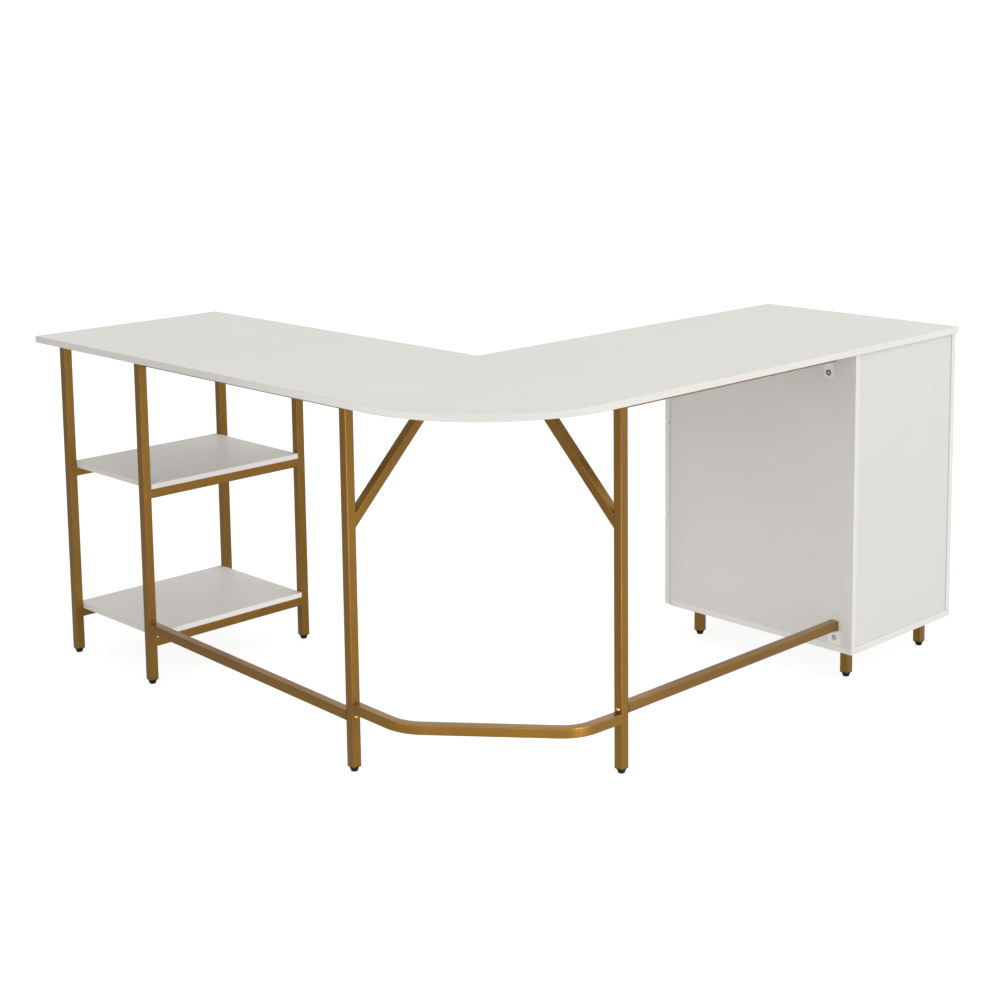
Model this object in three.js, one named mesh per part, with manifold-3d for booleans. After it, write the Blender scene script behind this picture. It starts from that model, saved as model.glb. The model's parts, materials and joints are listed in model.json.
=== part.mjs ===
// Corner desk: an L-shaped desktop on a square-tube frame, with an open two-shelf unit under the end
// of one wing and a cabinet with three handle-less drawers under the end of the other wing.
// Millimetres, +Z up, floor at z = 0. The origin is the bottom centre of the desk's bounding box.
// The shelf wing runs along Y on the +X side and the drawer wing runs along X on the +Y side, so the
// rounded outer corner is at (+X, +Y). Pieces are placed from that outer corner, towards -X and -Y.
import * as THREE from 'three';
import { mergeVertices } from 'three/addons/utils/BufferGeometryUtils.js';
import Module from 'manifold-3d';

const wasm = await Module();
wasm.setup();

// Desktop
const LENGTH_X = 1495; // drawer wing, along X
const LENGTH_Y = 1480; // shelf wing, along Y
const SHELF_WING = 500; // width of the shelf wing
const DRAWER_WING = 540; // width of the drawer wing
const HEIGHT = 750;
const TOP_THICKNESS = 15;
const CORNER_RADIUS = 320;

// Square steel tube
const TUBE = 20;
const WALL = 1.2;
const GAP = 0.3; // between a tube's end and the face it is bolted to

// Frame, measured from the desktop's edges
const OUTER_INSET = 40; // outer edge to the outer faces of the legs
const END_INSET = 35; // shelf wing's end to the end frame
const INNER_INSET = 15; // inner edge to the ends of the cross beams
const FOOT_HEIGHT = 11;

// Shelf unit
const SHELF_UNIT_DEPTH = 325; // outer face to outer face of the two ladder frames
const SHELF_THICKNESS = 12;
const UPPER_SHELF_TOP = 453;
const LOWER_SHELF_TOP = 117;

// Legs beside the rounded corner, with their braces
const SHELF_WING_LEG = 420; // outer corner to the near face of the leg
const DRAWER_WING_LEG = 395;
const BRACE_FOOT = 487; // height of the brace's lower edge where it meets the leg

// Straight members under the desktop
const TOP_RAIL_INSET = 56; // outer edge to the outer faces of the top rails

// Low members. Where two meet at a leg, one is lower than the other, so that their bolts clear, and two
// of them slope a little from one leg to the next. Heights are those of their lower edges.
const DRAWER_WING_STRETCHER = 120;
const CORNER_STRETCHER_HIGH = 120; // at the shelf wing's leg
const CORNER_STRETCHER_LOW = 103; // at the drawer wing's leg
const SHELF_WING_STRETCHER_HIGH = 121; // at the shelf unit
const SHELF_WING_STRETCHER_LOW = 102; // at the shelf wing's leg
const BEND_SETBACK = 245; // outer face corner to each bend of the corner stretcher
const BEND_RADIUS = 90;

// Cabinet
const PANEL = 15;
const CABINET_WIDTH = 389;
const CABINET_END_INSET = 4;
const CABINET_BACK_INSET = 5;
const CABINET_BOTTOM = 70;
const FRONT_INSET = 1; // desktop's inner edge to the faces of the drawer fronts
const FRONT_GAP = 2; // drawer fronts to the carcass
const BACK_PANEL = 5;
const BACK_RECESS = 2;
const TOP_RAIL_DEPTH = 60;
const CABINET_LEG_INSET_X = 40;
const CABINET_LEG_INSET_Y = 38;
const CABINET_FRONT_LEG_INSET = 41;

// Drawers
const DRAWERS = 3;
const DRAWER_GAP = 2;
const FRONT_OVERLAP = 1.5; // fronts stop this far above the underside of the bottom panel
const FRONT_SIDE_GAP = 1;
const FRONT_BEVEL = 1.5; // along the upper outer edge of each front
const BOX_SIDE = 12;
const BOX_BOTTOM = 5;
const BOX_BOTTOM_LIFT = 6;
const BOX_DEPTH = 460;
const BOX_HEIGHT = 150;
const BOX_LIFT = 25; // bottom of a front to the bottom of its drawer box
const RUNNER_SPACE = 12.5; // drawer box to side panel

// Runners
const RUNNER_LENGTH = 440;
const RUNNER_HEIGHT = 45;
const RUNNER_SHEET = 1.2;
const RUNNER_LIP = 9;
const SLIDER_HEIGHT = 34;
const SLIDER_DEPTH = 8;
const RUNNER_LIFT = 45; // bottom of the drawer box to the runner's lower edge

// Angle brackets that hold the tube ends to the cabinet
const BRACKET_SHEET = 2;
const UPPER_BRACKET = { inset: 62, width: 24, leaf: 38 };
const LOWER_BRACKET = { inset: 33, width: 33, leaf: 33 };

// Levelling feet
const FOOT_TOP_RADIUS = 9.5;
const FOOT_TIP_RADIUS = 7;
const STUD_RADIUS = 3;
const STUD_LENGTH = 22;

const UNDERSIDE = HEIGHT - TOP_THICKNESS;
const BEAM_BOTTOM = UNDERSIDE - TUBE;

const laminate = { color: 0xe6e3dd, roughness: 0.42, metalness: 0 };
const gold = { color: 0x9a7431, roughness: 0.4, metalness: 0.7 };
const blackPlastic = { color: 0x191817, roughness: 0.5, metalness: 0 };
const zincSteel = { color: 0xb9bcc0, roughness: 0.35, metalness: 0.9 };
const whiteSteel = { color: 0xd9d6cf, roughness: 0.45, metalness: 0.2 };
const board = { color: 0xded9d0, roughness: 0.6, metalness: 0 };

const desk = new THREE.Group();
const fromCorner = new THREE.Group();
fromCorner.position.set(LENGTH_X / 2, LENGTH_Y / 2, 0);
desk.add(fromCorner);

function addPiece(name, geometry, look, parent = fromCorner) {
  const mesh = new THREE.Mesh(geometry, new THREE.MeshStandardMaterial(look));
  mesh.name = name;
  parent.add(mesh);
  return mesh;
}

// A box between two corners.
function block([x0, y0, z0], [x1, y1, z1]) {
  const geometry = new THREE.BoxGeometry(x1 - x0, y1 - y0, z1 - z0);
  return geometry.translate((x0 + x1) / 2, (y0 + y1) / 2, (z0 + z1) / 2);
}

// An outline in the XY plane, extruded from z0 to z1.
function plate(shape, z0, z1, curveSegments = 12) {
  const options = { depth: z1 - z0, bevelEnabled: false, curveSegments };
  return new THREE.ExtrudeGeometry(shape, options).translate(0, 0, z0);
}

// An outline in the XZ plane, extruded from y0 to y1.
function upright(points, y0, y1) {
  const shape = new THREE.Shape(points.map(([x, z]) => new THREE.Vector2(x, z)));
  const geometry = new THREE.ExtrudeGeometry(shape, { depth: y1 - y0, bevelEnabled: false });
  return geometry.rotateX(Math.PI / 2).translate(0, y1, 0);
}

function toSolid(geometry) {
  const bare = geometry.clone();
  bare.deleteAttribute('normal');
  bare.deleteAttribute('uv');
  const merged = mergeVertices(bare, 1e-4);
  const triVerts = new Uint32Array(merged.index.array);
  const vertProperties = new Float32Array(merged.attributes.position.array);
  return new wasm.Manifold(new wasm.Mesh({ numProp: 3, vertProperties, triVerts }));
}

function toGeometry(solid) {
  const { vertProperties, triVerts } = solid.getMesh();
  const geometry = new THREE.BufferGeometry();
  geometry.setAttribute('position', new THREE.BufferAttribute(vertProperties, 3));
  geometry.setIndex(new THREE.BufferAttribute(triVerts, 1));
  geometry.computeVertexNormals();
  return geometry;
}

const joined = (geometries) => geometries.map(toSolid).reduce((a, b) => a.add(b));

// Welded square tube: the outsides joined, less the bores, which run into each other and are open at
// the foot of each leg.
const welded = (outsides, bores) => toGeometry(joined(outsides).subtract(joined(bores)));

// Outside and bore of an upright tube with its foot open and its top closed.
function legTube(x, y, top) {
  return {
    outside: block([x, y, FOOT_HEIGHT], [x + TUBE, y + TUBE, top]),
    bore: block([x + WALL, y + WALL, FOOT_HEIGHT - 1], [x + TUBE - WALL, y + TUBE - WALL, top - WALL]),
  };
}

// Outside and bore of a tube along X that is welded to others, whose bore stops where it is told to.
function beamTube(x0, x1, y, z, boreStart, boreEnd) {
  return {
    outside: block([x0, y, z], [x1, y + TUBE, z + TUBE]),
    bore: block([boreStart, y + WALL, z + WALL], [boreEnd, y + TUBE - WALL, z + TUBE - WALL]),
  };
}

function weldedFrame(name, tubes) {
  return addPiece(name, welded(tubes.map((t) => t.outside), tubes.map((t) => t.bore)), gold);
}

// Lifts each point of a tube's outside or bore by what rise gives for its place in plan.
function lifted(geometry, rise) {
  const place = geometry.attributes.position;
  for (let i = 0; i < place.count; i += 1) {
    place.setZ(i, place.getZ(i) + rise(place.getX(i), place.getY(i)));
  }
  return geometry;
}

// A straight open-ended tube along Y, whose lower edge is at z0 at its start and at z1 at its end.
function tubeAlongY(name, x, y0, y1, z0, z1 = z0) {
  const rise = (_, y) => z0 + ((z1 - z0) * (y - y0)) / (y1 - y0);
  const outside = block([x, y0, 0], [x + TUBE, y1, TUBE]);
  const bore = block([x + WALL, y0 - 1, WALL], [x + TUBE - WALL, y1 + 1, TUBE - WALL]);
  addPiece(name, welded([lifted(outside, rise)], [lifted(bore, rise)]), gold);
}

// A straight open-ended tube along X.
function tubeAlongX(name, x0, x1, y, z) {
  const outside = block([x0, y, z], [x1, y + TUBE, z + TUBE]);
  const bore = block([x0 - 1, y + WALL, z + WALL], [x1 + 1, y + TUBE - WALL, z + TUBE - WALL]);
  addPiece(name, welded([outside], [bore]), gold);
}

// Desktop: one L-shaped board with a sharp inner corner and a round outer corner.
function addDesktop() {
  const outline = new THREE.Shape();
  outline.moveTo(0, -LENGTH_Y);
  outline.lineTo(0, -CORNER_RADIUS);
  outline.absarc(-CORNER_RADIUS, -CORNER_RADIUS, CORNER_RADIUS, 0, Math.PI / 2, false);
  outline.lineTo(-LENGTH_X, 0);
  outline.lineTo(-LENGTH_X, -DRAWER_WING);
  outline.lineTo(-SHELF_WING, -DRAWER_WING);
  outline.lineTo(-SHELF_WING, -LENGTH_Y);
  addPiece('desktop', plate(outline, UNDERSIDE, HEIGHT, 32), laminate);
}

// Ladder frames of the shelf unit: two legs, a top beam and a rail under each shelf.
const outerLegX = -OUTER_INSET - TUBE;
const innerLegX = -SHELF_WING + INNER_INSET;
const endFrameY = -LENGTH_Y + END_INSET;
const innerFrameY = endFrameY + SHELF_UNIT_DEPTH - TUBE;
const upperRail = UPPER_SHELF_TOP - SHELF_THICKNESS - TUBE;
const lowerRail = LOWER_SHELF_TOP - SHELF_THICKNESS - TUBE;

function addLadderFrame(name, y) {
  const start = innerLegX + WALL;
  const end = outerLegX + TUBE - WALL;
  const rungs = [BEAM_BOTTOM, upperRail, lowerRail];
  weldedFrame(name, [
    legTube(outerLegX, y, UNDERSIDE),
    legTube(innerLegX, y, UNDERSIDE),
    ...rungs.map((z) => beamTube(innerLegX + TUBE / 2, outerLegX + TUBE / 2, y, z, start, end)),
  ]);
}

function addShelf(name, top) {
  const low = [innerLegX + TUBE, endFrameY, top - SHELF_THICKNESS];
  addPiece(name, block(low, [outerLegX, innerFrameY + TUBE, top]), laminate);
}

// Leg with a cross beam under the desktop and a 45 degree brace between them. It is drawn with the
// leg's outer face at x = 0 and its near face at y = 0, and the beam running towards -X.
function bracedLegGeometry(beamLength) {
  const slant = Math.SQRT2;
  const rise = BEAM_BOTTOM - BRACE_FOOT;
  const sink = WALL / 2;
  const face = -TUBE;
  const outline = (shift, height, into) => [
    [face + into, BRACE_FOOT + shift - into],
    [face + into, BRACE_FOOT + shift + height - into],
    [face + shift + height - rise - into, BEAM_BOTTOM + into],
    [face + shift - rise - into, BEAM_BOTTOM + into],
  ];
  const brace = upright(outline(0, TUBE * slant, sink), -TUBE, 0);
  const braceBore = upright(outline(WALL * slant, (TUBE - 2 * WALL) * slant, 2 * WALL), WALL - TUBE, -WALL);
  const leg = legTube(-TUBE, -TUBE, UNDERSIDE);
  const beam = beamTube(-beamLength, -TUBE / 2, -TUBE, BEAM_BOTTOM, WALL - beamLength, -WALL);
  return welded([leg.outside, beam.outside, brace], [leg.bore, beam.bore, braceBore]);
}

// The shelf wing's beam stops at the side of the drawer wing's beam, which runs on to the inner edge.
function addBracedLegs() {
  const alongX = DRAWER_WING_LEG - GAP - OUTER_INSET;
  const shelfWingLeg = addPiece('shelf_wing_braced_leg', bracedLegGeometry(alongX), gold);
  shelfWingLeg.position.set(-OUTER_INSET, -SHELF_WING_LEG, 0);
  const alongY = DRAWER_WING - INNER_INSET - OUTER_INSET;
  const drawerWingLeg = addPiece('drawer_wing_braced_leg', bracedLegGeometry(alongY), gold);
  drawerWingLeg.rotation.z = Math.PI / 2;
  drawerWingLeg.position.set(-DRAWER_WING_LEG - TUBE, -OUTER_INSET, 0);
}

// Low stretcher round the corner: it leaves each leg square to it and turns 45 degrees twice.
function cornerStretcherOutline(halfWidth, endRun) {
  const centre = -OUTER_INSET - TUBE / 2;
  const tangent = BEND_RADIUS * Math.tan(Math.PI / 8);
  const bendStart = -OUTER_INSET - BEND_SETBACK - tangent;
  const axis = centre - BEND_RADIUS;
  const outerRadius = BEND_RADIUS + halfWidth;
  const innerRadius = BEND_RADIUS - halfWidth;
  const quarter = Math.PI / 4;
  const startY = -SHELF_WING_LEG + GAP - endRun;
  const endX = -DRAWER_WING_LEG + GAP - endRun;
  const outline = new THREE.Shape();
  outline.moveTo(centre + halfWidth, startY);
  outline.absarc(axis, bendStart, outerRadius, 0, quarter, false);
  outline.absarc(bendStart, axis, outerRadius, quarter, 2 * quarter, false);
  outline.lineTo(endX, centre + halfWidth);
  outline.lineTo(endX, centre - halfWidth);
  outline.absarc(bendStart, axis, innerRadius, 2 * quarter, quarter, true);
  outline.absarc(axis, bendStart, innerRadius, quarter, 0, true);
  outline.lineTo(centre - halfWidth, startY);
  return outline;
}

// Its height falls evenly from the shelf wing's leg to the drawer wing's leg.
function addCornerStretcher() {
  const start = OUTER_INSET + TUBE / 2 - SHELF_WING_LEG;
  const end = DRAWER_WING_LEG - OUTER_INSET - TUBE / 2;
  const slope = (CORNER_STRETCHER_LOW - CORNER_STRETCHER_HIGH) / (end - start);
  const rise = (x, y) => CORNER_STRETCHER_HIGH + slope * (y - x - start);
  const outside = plate(cornerStretcherOutline(TUBE / 2, 0), 0, TUBE, 6);
  const bore = plate(cornerStretcherOutline(TUBE / 2 - WALL, 1), WALL, TUBE - WALL, 6);
  addPiece('corner_stretcher', welded([lifted(outside, rise)], [lifted(bore, rise)]), gold);
}

// Straight rails and stretchers between the frames.
const cabinetNearX = -LENGTH_X + CABINET_END_INSET + CABINET_WIDTH;
const cabinetFarX = -LENGTH_X + CABINET_END_INSET;

function addRails() {
  const nearY = innerFrameY + TUBE + GAP;
  const farY = -SHELF_WING_LEG - TUBE - GAP;
  tubeAlongY('shelf_wing_top_rail', -TOP_RAIL_INSET - TUBE, nearY, farY, BEAM_BOTTOM);
  tubeAlongY('shelf_wing_stretcher', outerLegX, nearY, farY, SHELF_WING_STRETCHER_HIGH,
    SHELF_WING_STRETCHER_LOW);
  const nearX = cabinetNearX + GAP;
  const farX = -DRAWER_WING_LEG - TUBE - GAP;
  tubeAlongX('drawer_wing_top_rail', nearX, farX, -TOP_RAIL_INSET - TUBE, BEAM_BOTTOM);
  tubeAlongX('drawer_wing_stretcher', nearX, farX, -OUTER_INSET - TUBE, DRAWER_WING_STRETCHER);
}

// Angle bracket under a tube's end: one leaf under the tube, the other down the cabinet's side.
function addBracket(name, { inset, width, leaf }, tubeBottom) {
  const x = cabinetNearX;
  const z = tubeBottom - GAP;
  const outline = [
    [x, z], [x, z - leaf], [x + BRACKET_SHEET, z - leaf],
    [x + BRACKET_SHEET, z - BRACKET_SHEET], [x + TUBE, z - BRACKET_SHEET], [x + TUBE, z],
  ];
  addPiece(name, upright(outline, -inset - width, -inset), whiteSteel);
}

// Levelling foot: a tapered plastic pad on a stud that runs up inside the leg.
function addFoot(name, x, y) {
  const rim = 2;
  const seat = FOOT_HEIGHT - GAP;
  const profile = [
    [0, 0], [FOOT_TIP_RADIUS, 0], [FOOT_TOP_RADIUS, seat - rim], [FOOT_TOP_RADIUS, seat],
    [STUD_RADIUS, seat], [STUD_RADIUS, seat + STUD_LENGTH], [0, seat + STUD_LENGTH],
  ];
  const geometry = new THREE.LatheGeometry(profile.map(([r, z]) => new THREE.Vector2(r, z)), 24);
  const foot = addPiece(name, geometry.rotateX(Math.PI / 2), blackPlastic);
  foot.position.set(x, y, 0);
}

// Cabinet carcass: two sides standing on the bottom panel, a recessed back and a front top rail.
const cabinetBackY = -CABINET_BACK_INSET;
const frontFaceY = -DRAWER_WING + FRONT_INSET;
const carcassFrontY = frontFaceY + PANEL + FRONT_GAP;
const floorOfCabinet = CABINET_BOTTOM + PANEL;

function addCabinet() {
  const low = [cabinetFarX, carcassFrontY];
  const insideFar = cabinetFarX + PANEL;
  const insideNear = cabinetNearX - PANEL;
  const backFace = cabinetBackY - BACK_RECESS;
  addPiece('cabinet_bottom', block([...low, CABINET_BOTTOM], [cabinetNearX, cabinetBackY, floorOfCabinet]),
    laminate);
  addPiece('cabinet_end_side',
    block([...low, floorOfCabinet], [insideFar, cabinetBackY, UNDERSIDE]), laminate);
  addPiece('cabinet_knee_side',
    block([insideNear, carcassFrontY, floorOfCabinet], [cabinetNearX, cabinetBackY, UNDERSIDE]), laminate);
  addPiece('cabinet_back',
    block([insideFar, backFace - BACK_PANEL, floorOfCabinet], [insideNear, backFace, UNDERSIDE]), laminate);
  const railBack = carcassFrontY + TOP_RAIL_DEPTH;
  addPiece('cabinet_top_rail',
    block([insideFar, carcassFrontY, UNDERSIDE - PANEL], [insideNear, railBack, UNDERSIDE]), laminate);
}

// Short tube legs under the cabinet, each with its foot.
function addCabinetLegs() {
  const xs = { end: cabinetFarX + CABINET_LEG_INSET_X, knee: cabinetNearX - CABINET_LEG_INSET_X - TUBE };
  const ys = {
    rear: cabinetBackY - CABINET_LEG_INSET_Y - TUBE,
    front: carcassFrontY + CABINET_FRONT_LEG_INSET,
  };
  for (const [xName, x] of Object.entries(xs)) {
    for (const [yName, y] of Object.entries(ys)) {
      const tube = legTube(x, y, CABINET_BOTTOM);
      addPiece(`cabinet_leg_${yName}_${xName}`, welded([tube.outside], [tube.bore]), gold);
      addFoot(`foot_cabinet_${yName}_${xName}`, x + TUBE / 2, y + TUBE / 2);
    }
  }
}

// One side's runner: a channel on the cabinet's side panel and a smaller one on the drawer box.
// side is +1 for the knee side and -1 for the end side; wall is the side panel's inner face.
function channel(wall, inward, depth, y0, y1, z, height) {
  const t = RUNNER_SHEET;
  const profile = [
    [0, 0], [depth, 0], [depth, t], [t, t],
    [t, height - t], [depth, height - t], [depth, height], [0, height],
  ].map(([x, h]) => [wall + inward * x, z + h]);
  return upright(inward > 0 ? profile : profile.reverse(), y0, y1);
}

function addDrawer(level) {
  const fronts = CABINET_BOTTOM + FRONT_OVERLAP;
  const frontHeight = (UNDERSIDE - DRAWER_GAP - fronts - (DRAWERS - 1) * DRAWER_GAP) / DRAWERS;
  const z = fronts + level * (frontHeight + DRAWER_GAP);
  const name = `drawer_${['lower', 'middle', 'upper'][level]}`;
  const y0 = frontFaceY + PANEL;
  const y1 = y0 + BOX_DEPTH;
  const boxFar = cabinetFarX + PANEL + RUNNER_SPACE;
  const boxNear = cabinetNearX - PANEL - RUNNER_SPACE;
  const boxZ = z + BOX_LIFT;
  const boxTop = boxZ + BOX_HEIGHT;
  const bottomZ = boxZ + BOX_BOTTOM_LIFT;

  // Front board with the finger grip's bevel, drawn as a section across the board.
  const section = new THREE.Shape([
    [0, 0], [PANEL, 0], [PANEL, frontHeight], [FRONT_BEVEL, frontHeight], [0, frontHeight - FRONT_BEVEL],
  ].map(([y, h]) => new THREE.Vector2(y, h)));
  const width = CABINET_WIDTH - 2 * FRONT_SIDE_GAP;
  const front = new THREE.ExtrudeGeometry(section, { depth: width, bevelEnabled: false });
  front.rotateX(Math.PI / 2).rotateZ(Math.PI / 2);
  front.translate(cabinetFarX + FRONT_SIDE_GAP, frontFaceY, z);
  addPiece(`${name}_front`, front, laminate);

  addPiece(`${name}_end_side`, block([boxFar, y0, boxZ], [boxFar + BOX_SIDE, y1, boxTop]), board);
  addPiece(`${name}_knee_side`, block([boxNear - BOX_SIDE, y0, boxZ], [boxNear, y1, boxTop]), board);
  const inFar = boxFar + BOX_SIDE;
  const inNear = boxNear - BOX_SIDE;
  addPiece(`${name}_back`, block([inFar, y1 - BOX_SIDE, boxZ], [inNear, y1, boxTop]), board);
  addPiece(`${name}_bottom`,
    block([inFar, y0, bottomZ], [inNear, y1 - BOX_SIDE, bottomZ + BOX_BOTTOM]), board);

  const runnerZ = boxZ + RUNNER_LIFT;
  const sliderZ = runnerZ + (RUNNER_HEIGHT - SLIDER_HEIGHT) / 2;
  const runnerY = carcassFrontY + GAP;
  const runnerEnd = runnerY + RUNNER_LENGTH;
  const sides = [['end', cabinetFarX + PANEL, 1, boxFar], ['knee', cabinetNearX - PANEL, -1, boxNear]];
  for (const [side, wall, inward, box] of sides) {
    const rail = channel(wall, inward, RUNNER_LIP, runnerY, runnerEnd, runnerZ, RUNNER_HEIGHT);
    addPiece(`runner_${side}_${name}`, rail, zincSteel);
    const slider = channel(box, -inward, SLIDER_DEPTH, runnerY, runnerEnd, sliderZ, SLIDER_HEIGHT);
    addPiece(`slider_${side}_${name}`, slider, zincSteel);
  }
}

addDesktop();
addLadderFrame('shelf_frame_end', endFrameY);
addLadderFrame('shelf_frame_inner', innerFrameY);
addShelf('shelf_upper', UPPER_SHELF_TOP);
addShelf('shelf_lower', LOWER_SHELF_TOP);
addBracedLegs();
addCornerStretcher();
addRails();
addBracket('bracket_upper', UPPER_BRACKET, BEAM_BOTTOM);
addBracket('bracket_lower', LOWER_BRACKET, DRAWER_WING_STRETCHER);
addCabinet();
addCabinetLegs();
for (let level = 0; level < DRAWERS; level += 1) addDrawer(level);

const half = TUBE / 2;
addFoot('foot_shelf_end_outer', outerLegX + half, endFrameY + half);
addFoot('foot_shelf_end_inner', innerLegX + half, endFrameY + half);
addFoot('foot_shelf_inner_outer', outerLegX + half, innerFrameY + half);
addFoot('foot_shelf_inner_inner', innerLegX + half, innerFrameY + half);
addFoot('foot_shelf_wing', -OUTER_INSET - half, -SHELF_WING_LEG - half);
addFoot('foot_drawer_wing', -DRAWER_WING_LEG - half, -OUTER_INSET - half);

export default desk;
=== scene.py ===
import json
import math

import bmesh
import bpy
from mathutils import Matrix, Vector


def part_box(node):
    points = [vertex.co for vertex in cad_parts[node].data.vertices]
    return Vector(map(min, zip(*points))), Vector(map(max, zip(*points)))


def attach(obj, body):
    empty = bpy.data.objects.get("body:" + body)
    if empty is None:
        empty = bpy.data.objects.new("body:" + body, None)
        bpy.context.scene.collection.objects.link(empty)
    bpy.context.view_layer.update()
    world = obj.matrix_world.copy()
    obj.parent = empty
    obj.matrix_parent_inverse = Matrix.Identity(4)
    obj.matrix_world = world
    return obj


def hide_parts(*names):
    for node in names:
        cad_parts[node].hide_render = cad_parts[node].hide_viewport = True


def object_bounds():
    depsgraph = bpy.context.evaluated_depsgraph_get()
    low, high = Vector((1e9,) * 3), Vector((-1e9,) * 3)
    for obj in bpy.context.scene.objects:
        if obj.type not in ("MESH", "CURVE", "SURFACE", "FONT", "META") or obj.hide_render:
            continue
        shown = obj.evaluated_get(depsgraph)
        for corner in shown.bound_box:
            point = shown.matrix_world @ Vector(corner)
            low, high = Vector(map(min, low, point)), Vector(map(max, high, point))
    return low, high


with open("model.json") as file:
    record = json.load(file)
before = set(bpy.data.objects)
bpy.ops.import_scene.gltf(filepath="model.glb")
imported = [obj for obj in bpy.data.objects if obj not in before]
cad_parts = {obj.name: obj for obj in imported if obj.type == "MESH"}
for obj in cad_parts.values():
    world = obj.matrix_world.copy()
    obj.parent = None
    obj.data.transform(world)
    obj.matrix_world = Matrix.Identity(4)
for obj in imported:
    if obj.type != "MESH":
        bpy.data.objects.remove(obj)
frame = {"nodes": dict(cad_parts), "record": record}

# Corner desk. Metres, in the part's own frame: the shelf wing runs along Y on the +X side and the drawer
# wing runs along X on the +Y side. Places come from the CAD nodes' boxes.
MM = 0.001
cad_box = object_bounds()
high = cad_box[1]
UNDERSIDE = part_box("desktop")[0].z

# Square tube
TUBE = 20 * MM
TUBE_ROUND = 1.5 * MM
TUBE_WALL = 1.2 * MM
BORE_ROUND = 0.5 * MM
BORE_DEPTH = 45 * MM
BORE_SHARE = 0.75  # of a leg's height, at most
ARC_STEPS = 4

# Welds
BEAD = 1.6 * MM
BEAD_STEPS = 16
BEAD_SWELL = 0.14  # share by which a bead's sections vary
BEAD_RIPPLE = 2.4  # radians from one section of a bead to the next
BEAD_END = 0.55  # size of a bead's two end sections
BEAD_CROWN = (0.62, 0.2)  # place of the crown's corners between the two faces
BEAD_SINK = 0.4 * MM
BEAD_TOE = 0.3 * MM  # how far a bead's edges go into the faces
WELD_WIDTH = 0.8  # share of the tube's width

# Fixings
BOLT_RADIUS = 5 * MM
BOLT_HEIGHT = 2.8 * MM
SCREW_RADIUS = 4 * MM
SCREW_HEIGHT = 1.8 * MM
RUNNER_SCREW_RADIUS = 3.2 * MM
RUNNER_SCREW_HEIGHT = 1.4 * MM
HEAD_SINK = 0.3 * MM  # how far heads go into what they clamp
SHELF_BEAM_SCREWS = (30 * MM, 90 * MM)  # from the beam's inner end
DRAWER_BEAM_SCREWS = (30 * MM, 150 * MM)
SCREWS_PER_RAIL = 3
RUNNER_SCREWS = (0.08, 0.5, 0.9)  # shares of the channel's length
WASHER_RADIUS = 6.4 * MM
WASHER_HOLE = 3.2 * MM
WASHER_THICK = 0.9 * MM
WASHER_EASE = 0.2 * MM
TURNED_STEPS = 24

# Braces and the corner stretcher's bends
BRACE_FOOT = 487 * MM
BEND_SETBACK = 245 * MM
BEND_RADIUS = 90 * MM
BEND_STEPS = 10

# Camera: angles in degrees. It stands outside the rounded corner of the desktop, above the floor.
CAMERA_YAW, CAMERA_PITCH, CAMERA_ROLL = 225.86, -8.26, -0.68
CAMERA_OUT_X, CAMERA_OUT_Y, CAMERA_HEIGHT = 2.1035, 2.2125, 1.4174  # in m, X and Y from the box
CAMERA_LENS, CAMERA_SENSOR = 65.73, 36  # in mm
CAMERA_SHIFT = -0.2
CAMERA_NEAR, CAMERA_FAR = 0.1, 100

# Light of the surroundings: what they give to the desk, and what the camera sees of them
WORLD_LIGHT = 0.86
WORLD_TINT = (1, 0.995, 0.985, 1)
WORLD_SEEN = 1.05
FLOOR_GLOW = 0.25
FLOOR_SEEN = 0.8
FLOOR_SIZE = 9
FLOOR_DROP = 0.2 * MM  # how far the floor lies under the feet

# The surroundings are brighter towards LEAN_AXIS by this share, and darker on the opposite side
WORLD_LEAN = 0.58
FLOOR_LEAN = 0.6
LEAN_AXIS = (-0.707, 0.707, 0)

# Lamps: power in watts, spread in degrees
KEY_POWER = 15
FILL_POWER = 15
SIDE_X_POWER = 0.65
SIDE_Y_POWER = 1.2
FRONT_POWER = 0.85
WIDE_SPREAD = 180
LOW_SPREAD = 75

# Boards and sheet metal
BOARD_BEVEL = 0.6 * MM
BOX_BEVEL = 0.4 * MM
BOARD_BEVEL_STEPS = 3
BRACKET_SHEET = 2 * MM
PLATE_ROUND = 3 * MM
PLATE_EASE = 0.3 * MM
LOWER_HOLE, UPPER_HOLE = 15 * MM, 12 * MM  # above the bracket's lower edge
RUNNER_SHEET = 1.2 * MM
RUNNER_BEVEL = 0.3 * MM
RUNNER_BEVEL_STEPS = 2

# Angles between faces, in degrees
COPLANAR = 0.5
CORNER = 30
SHARP = 50

X, Y, Z = Vector((1, 0, 0)), Vector((0, 1, 0)), Vector((0, 0, 1))

body_of = {}
for body, members in frame["record"]["behaviour"]["bodies"].items():
    for member in members:
        body_of[member] = body


# ---------------------------------------------------------------- camera
def place_camera():
    """Eye level above the desktop, outside the rounded corner, looking at the two outer sides."""
    yaw, pitch, roll = (math.radians(a) for a in (CAMERA_YAW, CAMERA_PITCH, CAMERA_ROLL))
    ahead = Vector((math.cos(pitch) * math.cos(yaw), math.cos(pitch) * math.sin(yaw), math.sin(pitch)))
    level = ahead.cross(Z).normalized()
    upward = level.cross(ahead)
    right = math.cos(roll) * level + math.sin(roll) * upward
    up = math.cos(roll) * upward - math.sin(roll) * level
    data = bpy.data.cameras.new("camera")
    camera = bpy.data.objects.new("camera", data)
    bpy.context.scene.collection.objects.link(camera)
    turn = Matrix((right, up, -ahead)).transposed().to_4x4()
    place = Vector((high.x + CAMERA_OUT_X, high.y + CAMERA_OUT_Y, CAMERA_HEIGHT))
    camera.matrix_world = Matrix.Translation(place) @ turn
    data.lens = CAMERA_LENS
    data.sensor_width = CAMERA_SENSOR
    data.shift_y = CAMERA_SHIFT
    data.clip_start, data.clip_end = CAMERA_NEAR, CAMERA_FAR
    bpy.context.scene.camera = camera


place_camera()


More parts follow.
